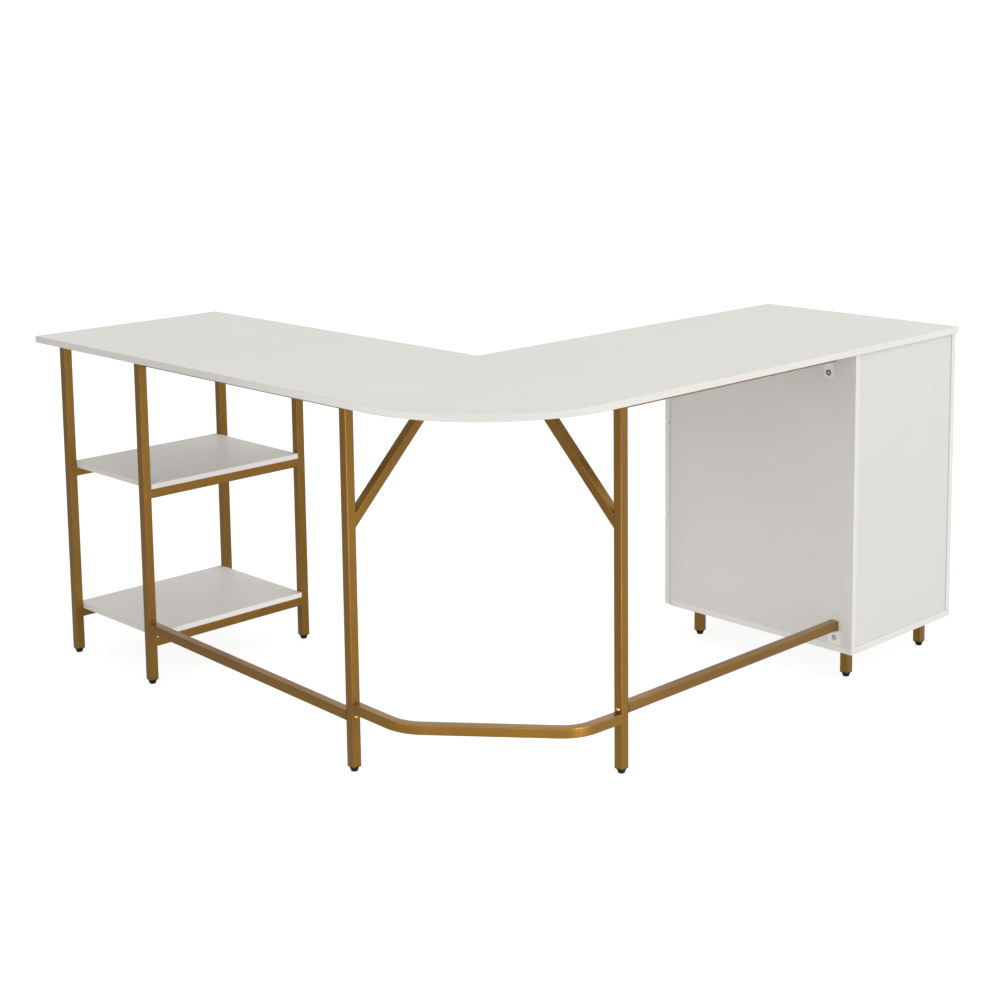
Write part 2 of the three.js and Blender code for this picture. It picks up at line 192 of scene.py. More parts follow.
# ---------------------------------------------------------------- materials
class Finish:
    """A node material. Textures are laid out in metres in the piece's own space."""

    def __init__(self, name):
        self.mat = bpy.data.materials.new(name)
        self.mat.use_nodes = True
        self.nodes, self.links = self.mat.node_tree.nodes, self.mat.node_tree.links
        self.shader = self.nodes["Principled BSDF"]
        self.place = self.nodes.new("ShaderNodeTexCoord").outputs["Object"]

    def stretched(self, scale):
        mapping = self.nodes.new("ShaderNodeMapping")
        mapping.inputs["Scale"].default_value = scale
        self.links.new(self.place, mapping.inputs["Vector"])
        return mapping.outputs["Vector"]

    def noise(self, scale, detail=2.0, roughness=0.5, stretch=None):
        node = self.nodes.new("ShaderNodeTexNoise")
        node.inputs["Scale"].default_value = scale
        node.inputs["Detail"].default_value = detail
        node.inputs["Roughness"].default_value = roughness
        self.links.new(self.stretched(stretch) if stretch else self.place, node.inputs["Vector"])
        return node.outputs["Fac"]

    def cells(self, scale):
        node = self.nodes.new("ShaderNodeTexVoronoi")
        node.feature = "SMOOTH_F1"
        node.inputs["Scale"].default_value = scale
        self.links.new(self.place, node.inputs["Vector"])
        return node.outputs["Distance"]

    def ramp(self, factor, stops):
        node = self.nodes.new("ShaderNodeValToRGB")
        elements = node.color_ramp.elements
        while len(elements) < len(stops):
            elements.new(0.5)
        for element, (position, colour) in zip(elements, stops):
            element.position = position
            element.color = (*colour, 1)
        self.links.new(factor, node.inputs["Fac"])
        return node.outputs["Color"]

    def blended(self, first, second, amount):
        node = self.nodes.new("ShaderNodeMix")
        node.data_type = "RGBA"
        node.inputs["Factor"].default_value = amount
        self.links.new(first, node.inputs[6])
        self.links.new(second, node.inputs[7])
        return node.outputs[2]

    def ranged(self, value, out_low, out_high, in_low=0.3, in_high=0.7):
        node = self.nodes.new("ShaderNodeMapRange")
        for name, number in (("From Min", in_low), ("From Max", in_high),
                             ("To Min", out_low), ("To Max", out_high)):
            node.inputs[name].default_value = number
        self.links.new(value, node.inputs["Value"])
        return node.outputs["Result"]

    def added(self, first, second, weight):
        node = self.nodes.new("ShaderNodeMath")
        node.operation = "MULTIPLY_ADD"
        self.links.new(second, node.inputs[0])
        node.inputs[1].default_value = weight
        self.links.new(first, node.inputs[2])
        return node.outputs["Value"]

    def bump(self, height, strength, distance):
        node = self.nodes.new("ShaderNodeBump")
        node.inputs["Strength"].default_value = strength
        node.inputs["Distance"].default_value = distance
        self.links.new(height, node.inputs["Height"])
        self.links.new(node.outputs["Normal"], self.shader.inputs["Normal"])

    def colour(self, source):
        self.links.new(source, self.shader.inputs["Base Color"])

    def rough(self, source):
        self.links.new(source, self.shader.inputs["Roughness"])

    def set(self, **sockets):
        for name, value in sockets.items():
            self.shader.inputs[name.replace("_", " ")].default_value = value


def laminate(name, base, sheen_low, sheen_high):
    """Melamine-faced board: faint clouding, a fine printed grain and a pearl-textured surface."""
    f = Finish(name)
    pale = tuple(c * 1.015 for c in base)
    deep = tuple(c * 0.975 for c in base)
    clouds = f.ramp(f.noise(3.5, 3, 0.55), ((0.35, deep), (0.65, pale)))
    specks = f.ramp(f.noise(700, 4, 0.7), ((0.3, tuple(c * 0.97 for c in base)), (0.72, pale)))
    f.colour(f.blended(clouds, specks, 0.45))
    f.rough(f.ranged(f.added(f.noise(25, 3), f.noise(450, 2), 0.5), sheen_low, sheen_high, 0.5, 1.0))
    f.bump(f.added(f.noise(900, 3, 0.6), f.cells(620), 0.6), 0.16, 0.12 * MM)
    f.set(Specular_IOR_Level=0.42)
    return f.mat


def edge_band(name, base):
    """Plastic edging: a shade cleaner than the board, with fine scraped lines along its height."""
    f = Finish(name)
    lines = f.noise(60, 3, 0.6, (14, 14, 0.8))
    tone = f.ramp(lines, ((0.35, tuple(c * 0.97 for c in base)), (0.65, base)))
    specks = f.ramp(f.noise(900, 3, 0.6), ((0.3, tuple(c * 0.98 for c in base)), (0.7, base)))
    f.colour(f.blended(tone, specks, 0.5))
    f.rough(f.ranged(f.noise(120, 3), 0.44, 0.56))
    f.bump(f.added(f.noise(1100, 3, 0.6), lines, 0.8), 0.1, 0.1 * MM)
    f.set(Specular_IOR_Level=0.38)
    return f.mat


def glue_line(name, base):
    """The scraped corner where edging meets the board's face: slightly darker and duller."""
    f = Finish(name)
    dull = tuple(c * 0.86 for c in base)
    f.colour(f.ramp(f.noise(160, 4, 0.6), ((0.3, dull), (0.7, base))))
    f.rough(f.ranged(f.noise(300, 2), 0.5, 0.66))
    f.bump(f.noise(1500, 2), 0.1, 0.08 * MM)
    return f.mat


def powder_coat(name, shade, bright, metallic, rough_low, rough_high, coat):
    """Satin powder coat: fine flake under an orange-peel surface, with a slow drift of tone."""
    f = Finish(name)
    flake = f.ramp(f.noise(2600, 2, 0.6), ((0.34, shade), (0.68, bright)))
    drift = f.ramp(f.noise(5, 3, 0.5), ((0.3, tuple(c * 0.9 for c in shade)), (0.7, bright)))
    f.colour(f.blended(flake, drift, 0.45))
    f.rough(f.ranged(f.added(f.noise(9, 2), f.noise(700, 3, 0.6), 0.6), rough_low, rough_high, 0.55, 1.05))
    f.bump(f.added(f.cells(480), f.noise(1700, 3, 0.6), 0.7), 0.2, 0.12 * MM)
    f.set(Metallic=metallic, Specular_IOR_Level=0.45, Coat_Weight=coat, Coat_Roughness=0.3)
    return f.mat


def moulded_plastic(name, base, rough_low, rough_high):
    """Dull moulded plastic with a fine grain."""
    f = Finish(name)
    light = tuple(c * 1.5 + 0.004 for c in base)
    f.colour(f.ramp(f.noise(400, 4, 0.65), ((0.32, base), (0.7, light))))
    f.rough(f.ranged(f.noise(260, 3), rough_low, rough_high))
    f.bump(f.added(f.noise(2200, 3, 0.6), f.cells(1600), 0.8), 0.3, 0.1 * MM)
    f.set(Specular_IOR_Level=0.2)
    return f.mat


def plated_steel(name, dark, pale, rough_low, rough_high, stretch):
    """Plated sheet or turned steel: drawn lines, a cloudy passivation and small scratches."""
    f = Finish(name)
    drawn = f.noise(90, 4, 0.6, stretch)
    tone = f.ramp(drawn, ((0.3, dark), (0.7, pale)))
    cloud = f.ramp(f.noise(35, 3), ((0.3, dark), (0.75, pale)))
    f.colour(f.blended(tone, cloud, 0.4))
    f.rough(f.ranged(f.added(drawn, f.noise(60, 3), 0.6), rough_low, rough_high, 0.55, 1.05))
    f.bump(f.added(drawn, f.noise(1300, 2), 0.4), 0.12, 0.06 * MM)
    f.set(Metallic=1.0)
    return f.mat


WHITE = (0.80, 0.785, 0.752)
BOARD_WHITE = (0.74, 0.722, 0.683)
face_laminate = laminate("white_laminate", WHITE, 0.36, 0.5)
face_band = edge_band("white_edge_band", tuple(c * 1.11 for c in WHITE))
face_glue = glue_line("white_glue_line", tuple(c * 0.97 for c in WHITE))
box_laminate = laminate("drawer_board", BOARD_WHITE, 0.5, 0.64)
box_band = edge_band("drawer_edge_band", BOARD_WHITE)
box_glue = glue_line("drawer_glue_line", tuple(c * 0.95 for c in BOARD_WHITE))
gold = powder_coat("gold_powder_coat", (0.27, 0.126, 0.010), (0.365, 0.184, 0.018),
                   metallic=0.94, rough_low=0.31, rough_high=0.4, coat=0.6)
gold_bolt = plated_steel("yellow_plated_bolt", (0.55, 0.36, 0.12), (0.78, 0.56, 0.24),
                         0.2, 0.34, (1, 1, 6))
black_plastic = moulded_plastic("black_plastic", (0.008, 0.008, 0.007), 0.42, 0.6)
zinc = plated_steel("zinc_steel", (0.46, 0.47, 0.49), (0.68, 0.69, 0.70), 0.26, 0.42, (12, 0.4, 12))
dark_screw = plated_steel("dark_screw", (0.07, 0.07, 0.075), (0.16, 0.16, 0.165), 0.3, 0.46, (1, 1, 5))
white_paint = powder_coat("white_painted_steel", (0.92, 0.91, 0.89), (0.95, 0.945, 0.93),
                          metallic=0.0, rough_low=0.3, rough_high=0.4, coat=0.5)

BOARD = (face_laminate, face_band, face_glue)
BOX_BOARD = (box_laminate, box_band, box_glue)


# ---------------------------------------------------------------- mesh helpers
def settle(bm, name, materials, body, replaces=()):
    """Turns bm into a shaded object that rides on a body."""
    bmesh.ops.recalc_face_normals(bm, faces=bm.faces)
    mesh = bpy.data.meshes.new(name)
    bm.to_mesh(mesh)
    bm.free()
    for material in materials:
        mesh.materials.append(material)
    mesh.shade_smooth()
    mesh.set_sharp_from_angle(angle=math.radians(SHARP))
    piece = bpy.data.objects.new(name, mesh)
    bpy.context.scene.collection.objects.link(piece)
    normals = piece.modifiers.new("even_shading", "WEIGHTED_NORMAL")
    normals.keep_sharp = True
    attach(piece, body)
    if replaces:
        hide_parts(*replaces)
    return piece


def loft(bm, rings, closed=False):
    """Skins rings of points that have the same count. An open loft is capped at both ends."""
    made = [[bm.verts.new(p) for p in ring] for ring in rings]
    count = len(made[0])
    pairs = list(zip(made, made[1:])) + ([(made[-1], made[0])] if closed else [])
    for near, far in pairs:
        for i in range(count):
            j = (i + 1) % count
            bm.faces.new((near[i], near[j], far[j], far[i]))
    if not closed:
        bm.faces.new(made[0])
        bm.faces.new(made[-1])


QUARTERS = ((1, 1), (-1, 1), (-1, -1), (1, -1))


def rounded_rectangle(width, height, radius, shrink=0.0):
    """Points round a rectangle whose corners are arcs. shrink moves them in without moving the arcs."""
    w, h, r = width / 2 - radius, height / 2 - radius, radius - shrink
    points = []
    for quarter, (su, sv) in enumerate(QUARTERS):
        for i in range(ARC_STEPS + 1):
            a = math.pi / 2 * (quarter + i / ARC_STEPS)
            points.append((su * w + r * math.cos(a), sv * h + r * math.sin(a)))
    return points


def rounded_square(width, radius=TUBE_ROUND):
    return rounded_rectangle(width, width, radius)


SECTION = rounded_square(TUBE)
BORE_SECTION = rounded_square(TUBE - 2 * TUBE_WALL, BORE_ROUND)


def bar(bm, centre, axis, side, start, end):
    """A closed tube along axis through centre, cut by two planes, each of them a point and a normal."""
    axis = axis.normalized()
    other = axis.cross(side)
    rings = []
    for point, normal in (start, end):
        ring = []
        for u, v in SECTION:
            p = centre + side * u + other * v
            ring.append(p + axis * ((point - p).dot(normal) / axis.dot(normal)))
        rings.append(ring)
    loft(bm, rings)


def post(bm, x, y, z0, z1):
    """A leg: an upright tube, open at its foot."""
    def ring(section, z):
        return [Vector((x + u, y + v, z)) for u, v in section]
    depth = min(BORE_DEPTH, (z1 - z0) * BORE_SHARE)
    loft(bm, [ring(BORE_SECTION, z0 + depth), ring(BORE_SECTION, z0), ring(SECTION, z0), ring(SECTION, z1)])


def bead(bm, a, b, first, second):
    """A rippled fillet weld along the inside corner from a to b, between two faces' outward normals."""
    rings = []
    far, near = BEAD_CROWN
    for i in range(BEAD_STEPS + 1):
        seam = a.lerp(b, i / BEAD_STEPS)
        swell = BEAD * (1 - BEAD_SWELL + BEAD_SWELL * math.cos(i * BEAD_RIPPLE))
        if i in (0, BEAD_STEPS):
            swell *= BEAD_END
        rings.append([seam - (first + second) * BEAD_SINK,
                      seam + first * swell - second * BEAD_TOE,
                      seam + first * swell * far + second * swell * near,
                      seam + first * swell * near + second * swell * far,
                      seam + second * swell - first * BEAD_TOE])
    loft(bm, rings)


def spun(bm, centre, outward, profile, socket=None, steps=TURNED_STEPS):
    """A turned shape about outward. profile is (radius, height) pairs. socket is (shape, size, depth)."""
    side = outward.orthogonal().normalized()
    other = outward.cross(side)

    def ring(radius_at, height):
        points = []
        for i in range(steps):
            a = 2 * math.pi * i / steps
            r = radius_at(a)
            points.append(centre + outward * height + side * (r * math.cos(a)) + other * (r * math.sin(a)))
        return points

    rings = [ring(lambda a, r=r: r, h) for r, h in profile]
    if socket:
        shape, size, depth = socket
        top = profile[-1][1]
        outline = hexagon(size) if shape == "hex" else cross(size)
        rings.append(ring(outline, top))
        rings.append(ring(lambda a: outline(a) * 0.94, top - depth))
    loft(bm, rings)


def hexagon(size):
    """The radius of a hexagon at an angle, as a function. size is across its flats, halved."""
    return lambda a: size / math.cos((a % (math.pi / 3)) - math.pi / 6)


def cross(size):
    """The radius of a four-armed recess at an angle, as a function. size is an arm's length."""
    def radius(a):
        off = abs((a + math.pi / 4) % (math.pi / 2) - math.pi / 4)
        return min(size, size * 0.24 / max(math.sin(off), 1e-3))
    return radius


def bolt(bm, centre, outward):
    """Button-head bolt with a hex socket."""
    r, h = BOLT_RADIUS, BOLT_HEIGHT
    profile = [(r * 0.98, -HEAD_SINK), (r, 0.1 * h), (r * 0.97, 0.35 * h), (r * 0.86, 0.68 * h),
               (r * 0.7, 0.92 * h), (r * 0.6, h)]
    spun(bm, centre, outward, profile, ("hex", r * 0.4, h * 0.7))


def screw(bm, centre, outward, r=SCREW_RADIUS, h=SCREW_HEIGHT):
    """Pan-head screw with a cross recess, of head radius r and height h."""
    profile = [(r * 0.96, -HEAD_SINK), (r, 0.12 * h), (r * 0.95, 0.5 * h), (r * 0.78, 0.86 * h),
               (r * 0.62, h)]
    spun(bm, centre, outward, profile, ("cross", r * 0.5, h * 0.75))


def eased_copy(node, thin=None):
    """The node's CAD mesh as a bmesh, and its corner edges. Faces that aren't square to thin get
    material 1, if thin is given."""
    bm = bmesh.new()
    bm.from_mesh(frame["nodes"][node].data)
    bmesh.ops.remove_doubles(bm, verts=bm.verts, dist=1e-5)
    bmesh.ops.dissolve_limit(bm, angle_limit=math.radians(COPLANAR), verts=bm.verts, edges=bm.edges)
    bm.normal_update()
    if thin:
        for face in bm.faces:
            face.material_index = 0 if abs(face.normal.dot(thin)) > 0.5 else 1
    limit = math.radians(CORNER)
    return bm, [e for e in bm.edges if e.is_manifold and e.calc_face_angle() > limit]


# ---------------------------------------------------------------- boards
def board(node, thin, looks=BOARD, bevel=BOARD_BEVEL):
    """A CAD board with its corners eased. Its faces are laminate, and the rest is edging."""
    bm, corners = eased_copy(node, thin)
    bmesh.ops.bevel(bm, geom=corners, offset=bevel, segments=BOARD_BEVEL_STEPS, profile=0.5,
                    affect="EDGES", clamp_overlap=True, material=2)
    return settle(bm, node + "_board", looks, body_of[node], (node,))


for node in ("desktop", "shelf_upper", "shelf_lower", "cabinet_bottom", "cabinet_top_rail"):
    board(node, Z)
for node in ("cabinet_end_side", "cabinet_knee_side"):
    board(node, X)
board("cabinet_back", Y)
DRAWERS = ("drawer_lower", "drawer_middle", "drawer_upper")
for drawer in DRAWERS:
    board(drawer + "_front", Y)
    board(drawer + "_bottom", Z, BOX_BOARD, BOX_BEVEL)
    board(drawer + "_back", Y, BOX_BOARD, BOX_BEVEL)
    for side in ("end", "knee"):
        board(f"{drawer}_{side}_side", X, BOX_BOARD, BOX_BEVEL)


# ---------------------------------------------------------------- tube frames
HALF = TUBE / 2
BEAM_Z = UNDERSIDE - HALF


def weld(bm, seam, across, first, second):
    """A bead over most of the tube's width, with its middle at seam."""
    reach = across * HALF * WELD_WIDTH
    bead(bm, seam - reach, seam + reach, first, second)


def cross_beam(bm, a, b, welded_above):
    """A beam from face to face of two posts, sunk into their rounded corners, with its welds."""
    along = (b - a).normalized()
    across = along.cross(Z)
    ends = (a - along * TUBE_ROUND, along), (b + along * TUBE_ROUND, along)
    bar(bm, a, along, across, *ends)
    for point, outward in ((a, along), (b, -along)):
        for level in (-Z, Z) if welded_above else (-Z,):
            weld(bm, point + level * HALF, across, outward, level)


def ladder_frame(node):
    """A pair of legs with a rung under the desktop and one under each shelf."""
    lo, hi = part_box(node)
    y = (lo.y + hi.y) / 2
    bm = bmesh.new()
    xs = (lo.x + HALF, hi.x - HALF)
    for x in xs:
        post(bm, x, y, lo.z, hi.z)
    rungs = [BEAM_Z] + [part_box(shelf)[0].z - HALF for shelf in ("shelf_upper", "shelf_lower")]
    for z in rungs:
        cross_beam(bm, Vector((xs[0] + HALF, y, z)), Vector((xs[1] - HALF, y, z)), z < BEAM_Z)
    settle(bm, node + "_tubes", (gold,), "desk", (node,))


def braced_leg(node, inward):
    """A leg, a beam that runs inward under the desktop, and the brace between them."""
    lo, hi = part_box(node)
    bm = bmesh.new()
    leg = Vector((hi.x - HALF, hi.y - HALF, 0))
    post(bm, leg.x, leg.y, lo.z, hi.z)
    length = (hi - lo).dot(-inward)
    across = inward.cross(Z)
    face = leg + inward * HALF
    beam = face + Z * BEAM_Z
    end = leg + inward * (length - HALF)
    bar(bm, beam, inward, across, (beam - inward * TUBE_ROUND, inward), (end, inward))
    weld(bm, beam - Z * HALF, across, inward, -Z)

    slant = (inward + Z).normalized()
    middle = face + Z * (BRACE_FOOT + HALF * math.sqrt(2))
    under_beam = face + Z * (BEAM_Z - HALF)
    bar(bm, middle, slant, across, (face - inward * TUBE_ROUND, inward), (under_beam + Z * TUBE_ROUND, Z))
    rise = BEAM_Z - HALF - BRACE_FOOT
    down = slant.cross(across)
    if down.z > 0:
        down = -down
    for lift, outward in ((0, down), (TUBE * math.sqrt(2), -down)):
        weld(bm, face + Z * (BRACE_FOOT + lift), across, inward, outward)
        weld(bm, face + inward * (rise - lift) + Z * (BEAM_Z - HALF), across, -Z, outward)
    settle(bm, node + "_tubes", (gold,), "desk", (node,))


for node in ("shelf_frame_end", "shelf_frame_inner"):
    ladder_frame(node)
braced_leg("shelf_wing_braced_leg", -X)
braced_leg("drawer_wing_braced_leg", -Y)


def straight_tube(node, axis, falls=0.0):
    """A tube between two frames. falls is how much lower its far end is than its start."""
    lo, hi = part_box(node)
    bm = bmesh.new()
    start, end = (lo + hi) / 2, (lo + hi) / 2
    for i in range(3):
        if axis[i]:
            start[i], end[i] = lo[i], hi[i]
    start.z += falls / 2
    end.z -= falls / 2
    across = axis.cross(Z)
    loft(bm, [[p + across * u + Z * v for u, v in SECTION] for p in (start, end)])
    settle(bm, node + "_tube", (gold,), "desk", (node,))


def drop(node):
    """How much lower one end of a sloping tube is than the other."""
    lo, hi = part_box(node)
    return hi.z - lo.z - TUBE


straight_tube("shelf_wing_top_rail", Y)
straight_tube("shelf_wing_stretcher", Y, drop("shelf_wing_stretcher"))
straight_tube("drawer_wing_top_rail", X)
straight_tube("drawer_wing_stretcher", X)


def corner_stretcher():
    """The low tube round the corner, with two bends, falling evenly towards the drawer wing's leg."""
    node = "corner_stretcher"
    lo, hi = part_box(node)
    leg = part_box("drawer_wing_braced_leg")[1].y
    outer = leg - HALF
    setback = leg - BEND_SETBACK - BEND_RADIUS * math.tan(math.pi / 8)
    axis_x = high.x - (high.y - leg) - HALF - BEND_RADIUS
    bend_x = axis_x + HALF + BEND_RADIUS - BEND_SETBACK - BEND_RADIUS * math.tan(math.pi / 8)
    axis_y = outer - BEND_RADIUS
    start = Vector((axis_x + BEND_RADIUS, lo.y, 0))
    end = Vector((lo.x, outer, 0))
    path = [(start, 0.0)]
    for centre_x, centre_y, first in ((axis_x, setback, 0.0), (bend_x, axis_y, math.pi / 4)):
        for i in range(BEND_STEPS + 1):
            a = first + math.pi / 4 * i / BEND_STEPS
            path.append((Vector((centre_x + BEND_RADIUS * math.cos(a),
                                 centre_y + BEND_RADIUS * math.sin(a), 0)), a))
    path.append((end, math.pi / 2))
    run = (end.y - end.x) - (start.y - start.x)
    fall = (hi.z - lo.z) - TUBE
    bm = bmesh.new()
    rings = []
    for point, a in path:
        out = Vector((math.cos(a), math.sin(a), 0))
        ring = [point + out * u for u, v in SECTION]
        for p, (u, v) in zip(ring, SECTION):
            p.z = hi.z - HALF + v - fall * ((p.y - p.x) - (start.y - start.x)) / run
        rings.append(ring)
    loft(bm, rings)
    settle(bm, node + "_tube", (gold,), "desk", (node,))


corner_stretcher()

CABINET_LEGS = [f"{y}_{x}" for y in ("rear", "front") for x in ("end", "knee")]
for place in CABINET_LEGS:
    node = "cabinet_leg_" + place
    lo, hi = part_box(node)
    bm = bmesh.new()
    post(bm, (lo.x + hi.x) / 2, (lo.y + hi.y) / 2, lo.z, hi.z)
    settle(bm, node + "_tube", (gold,), "desk", (node,))


# ---------------------------------------------------------------- feet
PLUG_THICK = 1.9 * MM
PLUG_EASE = 0.4 * MM
PLUG_HOLE = 3.3 * MM
PAD_GAP = 0.3 * MM
PAD_TIP = 7.0 * MM
PAD_STEPS = 32
STUD = 3.0 * MM
STUD_ROOT = 2.6 * MM
STUD_END = 2.4 * MM
THREAD = 1.0 * MM


def foot(node):
    """A plug in the tube's end, which stays, and a tapered pad on a threaded stud, which turns down."""
    lo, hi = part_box(node)
    centre = (lo + hi) / 2
    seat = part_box("shelf_frame_end")[0].z
    bm = bmesh.new()
    outer = rounded_square(TUBE)
    small = rounded_square(TUBE - 2.5 * PLUG_EASE)
    hole = [(PLUG_HOLE * math.cos(math.atan2(v, u)), PLUG_HOLE * math.sin(math.atan2(v, u)))
            for u, v in outer]
    bottom = seat - PLUG_THICK
    levels = ((outer, seat), (outer, bottom + PLUG_EASE), (small, bottom), (hole, bottom), (hole, seat))
    rings = [[Vector((centre.x + u, centre.y + v, z)) for u, v in ring] for ring, z in levels]
    loft(bm, rings, closed=True)
    settle(bm, node.replace("foot", "plug"), (black_plastic,), "desk")

    top, rim = (hi.x - lo.x) / 2, bottom - PAD_GAP
    profile = [(PAD_TIP - 0.7 * MM, 0), (PAD_TIP, 0.6 * MM), (PAD_TIP + 0.15 * MM, 1.6 * MM),
               (top - 0.25 * MM, rim - 1.6 * MM), (top, rim - 1.0 * MM), (top, rim - 0.3 * MM),
               (top - 0.3 * MM, rim), (STUD, rim)]
    z = rim
    while z < hi.z - THREAD:
        profile += [(STUD, z + 0.25 * THREAD), (STUD_ROOT, z + 0.75 * THREAD)]
        z += THREAD
    profile.append((STUD_END, hi.z))
    bm = bmesh.new()
    spun(bm, Vector((centre.x, centre.y, 0)), Z, profile, steps=PAD_STEPS)
    settle(bm, node + "_pad", (black_plastic,), body_of[node], (node,))


for node in sorted(frame["nodes"]):
    if node.startswith("foot_"):
        foot(node)


# ---------------------------------------------------------------- brackets and fixings
def rounded_plate(bm, centre, u_axis, v_axis, size, thick):
    """A plate with round corners, drawn about its centre and thickened along u x v."""
    normal = u_axis.cross(v_axis)
    ease = PLATE_EASE
    loft(bm, [[centre + u_axis * u + v_axis * v + normal * lift
               for u, v in rounded_rectangle(*size, PLATE_ROUND, shrink)]
              for lift, shrink in ((0, ease), (ease, 0), (thick - ease, 0), (thick, ease))])


def bracket(node, head_at, head, material):
    """An angle bracket: a plate on the cabinet's side and one under the tube, with a washer and a head."""
    lo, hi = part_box(node)
    bm = bmesh.new()
    middle = (lo + hi) / 2
    width, leaf, reach = hi.y - lo.y, hi.z - lo.z, hi.x - lo.x
    rounded_plate(bm, Vector((lo.x, middle.y, middle.z)), Y, Z, (width, leaf), BRACKET_SHEET)
    top = Vector((middle.x, middle.y, hi.z - BRACKET_SHEET))
    rounded_plate(bm, top, X, Y, (reach, width), BRACKET_SHEET)
    settle(bm, node + "_plate", (white_paint,), "desk", (node,))
    bm = bmesh.new()
    at = Vector((lo.x + BRACKET_SHEET, middle.y, lo.z + head_at))
    spun(bm, at, X, [(WASHER_RADIUS, -WASHER_EASE), (WASHER_RADIUS, WASHER_THICK - WASHER_EASE),
                     (WASHER_RADIUS - 2 * WASHER_EASE, WASHER_THICK), (WASHER_HOLE, WASHER_THICK)])
    settle(bm, node + "_washer", (material,), "desk")
    bm = bmesh.new()
    head(bm, at + X * WASHER_THICK, X)
    settle(bm, node + "_screw", (zinc,), "desk")


bracket("bracket_lower", LOWER_HOLE, bolt, zinc)
bracket("bracket_upper", UPPER_HOLE, screw, dark_screw)

shelf_leg_lo, shelf_leg_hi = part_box("shelf_wing_braced_leg")
drawer_leg_lo, drawer_leg_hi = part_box("drawer_wing_braced_leg")
inner_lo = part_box("shelf_frame_inner")[0]
corner_lo, corner_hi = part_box("corner_stretcher")
sloping_lo, sloping_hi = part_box("shelf_wing_stretcher")
level_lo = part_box("drawer_wing_stretcher")[0]
rail_x = sum(v.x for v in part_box("shelf_wing_top_rail")) / 2
rail_y = sum(v.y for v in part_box("drawer_wing_top_rail")) / 2
leg_x, leg_y = shelf_leg_hi.x - HALF, drawer_leg_hi.y - HALF

bm = bmesh.new()
for centre, outward in (
    (Vector((leg_x, shelf_leg_hi.y, sloping_lo.z + HALF)), Y),
    (Vector((leg_x, shelf_leg_lo.y, corner_hi.z - HALF)), -Y),
    (Vector((drawer_leg_hi.x, leg_y, level_lo.z + HALF)), X),
    (Vector((drawer_leg_lo.x, leg_y, corner_lo.z + HALF)), -X),
    (Vector((leg_x, inner_lo.y, sloping_hi.z - HALF)), -Y),
    (Vector((rail_x, shelf_leg_hi.y, BEAM_Z)), Y),
    (Vector((rail_x, inner_lo.y, BEAM_Z)), -Y),
    (Vector((drawer_leg_hi.x, rail_y, BEAM_Z)), X),
):
    bolt(bm, centre, outward)
settle(bm, "frame_bolts", (gold_bolt,), "desk")

# Screws up through the beams and rails into the desktop
bm = bmesh.new()
under = UNDERSIDE - TUBE
for node, along in (("shelf_frame_end", 0), ("shelf_frame_inner", 0),
                    ("shelf_wing_top_rail", 1), ("drawer_wing_top_rail", 0)):
    lo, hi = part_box(node)
    for i in range(SCREWS_PER_RAIL):
        at = (lo + hi) / 2
        at[along] = lo[along] + (hi[along] - lo[along]) * (i + 0.5) / SCREWS_PER_RAIL
        at.z = under
        screw(bm, at, -Z)
for part in SHELF_BEAM_SCREWS:
    screw(bm, Vector((shelf_leg_lo.x + part, (shelf_leg_lo.y + shelf_leg_hi.y) / 2, under)), -Z)
for part in DRAWER_BEAM_SCREWS:
    screw(bm, Vector(((drawer_leg_lo.x + drawer_leg_hi.x) / 2, drawer_leg_lo.y + part, under)), -Z)
settle(bm, "desktop_screws", (zinc,), "desk")


# ---------------------------------------------------------------- runners
def channel(node):
    """A runner's steel channel with its edges eased."""
    bm, corners = eased_copy(node)
    bmesh.ops.bevel(bm, geom=corners, offset=RUNNER_BEVEL, segments=RUNNER_BEVEL_STEPS, profile=0.5,
                    affect="EDGES", clamp_overlap=True)
    settle(bm, node + "_steel", (zinc,), body_of[node], (node,))


def runner_screws(bm, node, inward):
    """Screws through a channel's web. inward points from the web into the channel."""
    lo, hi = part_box(node)
    web = (lo.x if inward.x > 0 else hi.x) + inward.x * RUNNER_SHEET
    for part in RUNNER_SCREWS:
        at = Vector((web, lo.y + (hi.y - lo.y) * part, (lo.z + hi.z) / 2))
        screw(bm, at, inward, RUNNER_SCREW_RADIUS, RUNNER_SCREW_HEIGHT)


fixed = bmesh.new()
for drawer in DRAWERS:
    moving = bmesh.new()
    for side, inward in (("end", X), ("knee", -X)):
        channel(f"runner_{side}_{drawer}")
        channel(f"slider_{side}_{drawer}")
        runner_screws(fixed, f"runner_{side}_{drawer}", inward)
        runner_screws(moving, f"slider_{side}_{drawer}", -inward)
    settle(moving, drawer + "_runner_screws", (zinc,), drawer)
settle(fixed, "runner_screws", (zinc,), "desk")


# ---------------------------------------------------------------- stage and light
def leaning(nodes, links, place, level, lean, reach):
    """A value of level that grows by lean towards LEAN_AXIS, out to reach, and falls on the other side."""
    along = nodes.new("ShaderNodeVectorMath")
    along.operation = "DOT_PRODUCT"
    along.inputs[1].default_value = LEAN_AXIS
    links.new(place, along.inputs[0])
    ranged = nodes.new("ShaderNodeMapRange")
    for name, number in (("From Min", -reach), ("From Max", reach),
                         ("To Min", level * (1 - lean)), ("To Max", level * (1 + lean))):
        ranged.inputs[name].default_value = number
    links.new(along.outputs["Value"], ranged.inputs["Value"])
    return ranged.outputs["Result"]


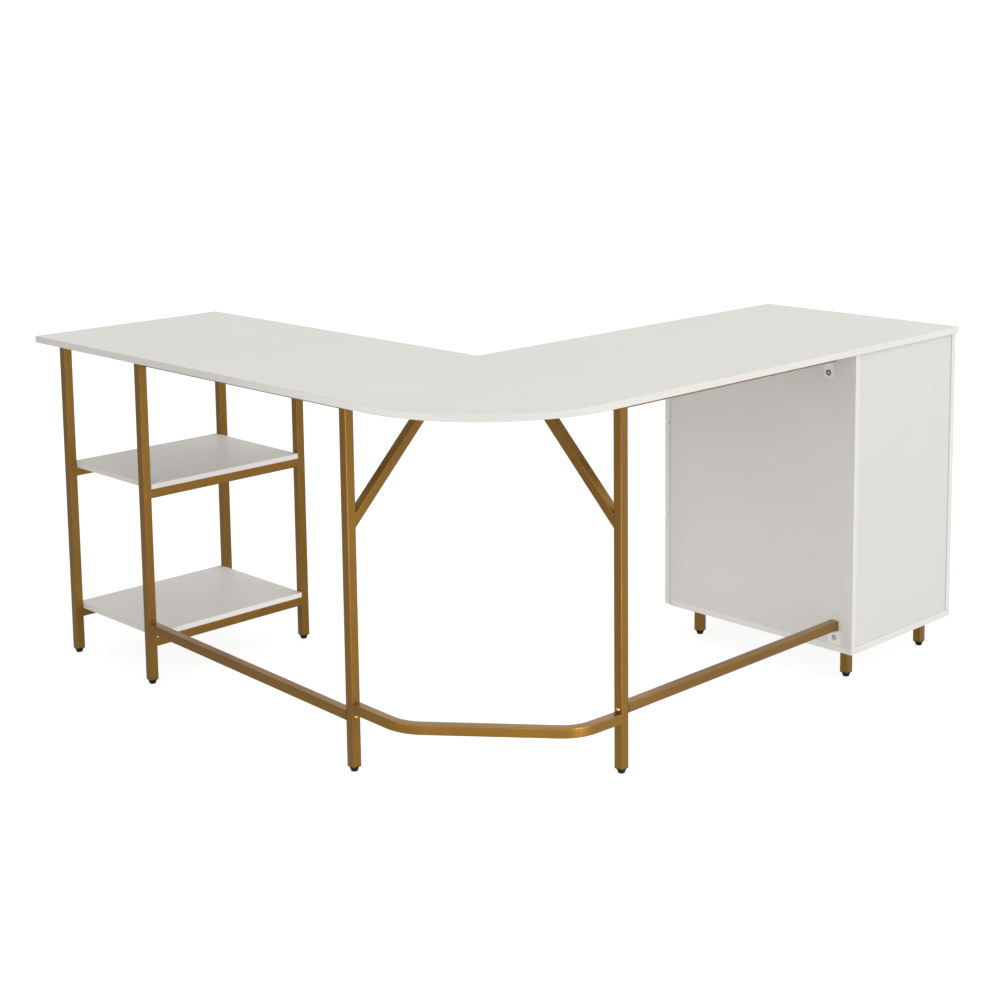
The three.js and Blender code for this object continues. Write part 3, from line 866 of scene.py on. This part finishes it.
def stage():
    """White surroundings and floor, two wide lamps from above and three low ones for the outer sides."""
    scene = bpy.context.scene
    scene.view_settings.view_transform = "Standard"
    scene.view_settings.look = "None"
    world = bpy.data.worlds.new("studio")
    scene.world = world
    world.use_nodes = True
    nodes, links = world.node_tree.nodes, world.node_tree.links
    seen = nodes.new("ShaderNodeBackground")
    seen.inputs["Color"].default_value = (1, 1, 1, 1)
    seen.inputs["Strength"].default_value = WORLD_SEEN
    lit = nodes["Background"]
    lit.inputs["Color"].default_value = WORLD_TINT
    direction = nodes.new("ShaderNodeTexCoord").outputs["Generated"]
    links.new(leaning(nodes, links, direction, WORLD_LIGHT, WORLD_LEAN, 1.0), lit.inputs["Strength"])
    mix = nodes.new("ShaderNodeMixShader")
    links.new(nodes.new("ShaderNodeLightPath").outputs["Is Camera Ray"], mix.inputs["Fac"])
    links.new(lit.outputs["Background"], mix.inputs[1])
    links.new(seen.outputs["Background"], mix.inputs[2])
    links.new(mix.outputs["Shader"], nodes["World Output"].inputs["Surface"])

    bm = bmesh.new()
    bmesh.ops.create_grid(bm, x_segments=1, y_segments=1, size=FLOOR_SIZE)
    mesh = bpy.data.meshes.new("floor")
    bm.to_mesh(mesh)
    bm.free()
    floor = bpy.data.objects.new("floor", mesh)
    scene.collection.objects.link(floor)
    floor.location.z = -FLOOR_DROP
    f = Finish("floor")
    f.colour(f.ramp(f.noise(2, 2), ((0.3, (0.34, 0.34, 0.34)), (0.7, (0.36, 0.36, 0.36)))))
    f.set(Roughness=0.9, Specular_IOR_Level=0.1, Emission_Color=(1, 1, 1, 1))
    glow = leaning(f.nodes, f.links, f.place, FLOOR_GLOW, FLOOR_LEAN, 3.0)
    choice = f.nodes.new("ShaderNodeMix")
    f.links.new(f.nodes.new("ShaderNodeLightPath").outputs["Is Camera Ray"], choice.inputs["Factor"])
    f.links.new(glow, choice.inputs["A"])
    choice.inputs["B"].default_value = FLOOR_SEEN
    f.links.new(choice.outputs["Result"], f.shader.inputs["Emission Strength"])
    mesh.materials.append(f.mat)

    # Each lamp is a rectangle at one place, turned to face another
    for name, at, target, size, power, spread in (
        ("key", (-0.6, 4.6, 3.4), (-0.1, 0.1, 0.5), (3.2, 3.2), KEY_POWER, WIDE_SPREAD),
        ("fill", (4.6, 0.6, 1.9), (0.0, 0.1, 0.4), (3.0, 3.0), FILL_POWER, WIDE_SPREAD),
        ("side_x", (1.55, 0.42, 0.42), (0.7, 0.42, 0.34), (0.12, 0.42), SIDE_X_POWER, LOW_SPREAD),
        ("side_y", (0.44, 1.55, 0.22), (0.44, 0.7, 0.05), (0.12, 0.42), SIDE_Y_POWER, LOW_SPREAD),
        ("front", (1.3, 1.3, 0.25), (0.5, 0.5, 0.0), (0.9, 0.5), FRONT_POWER, LOW_SPREAD),
    ):
        light = bpy.data.lights.new(name, "AREA")
        light.shape = "RECTANGLE"
        light.size, light.size_y = size
        light.energy = power
        light.spread = math.radians(spread)
        lamp = bpy.data.objects.new(name, light)
        scene.collection.objects.link(lamp)
        lamp.visible_camera = False
        lamp.location = at
        lamp.rotation_euler = (Vector(target) - Vector(at)).to_track_quat("-Z", "Y").to_euler()


stage()
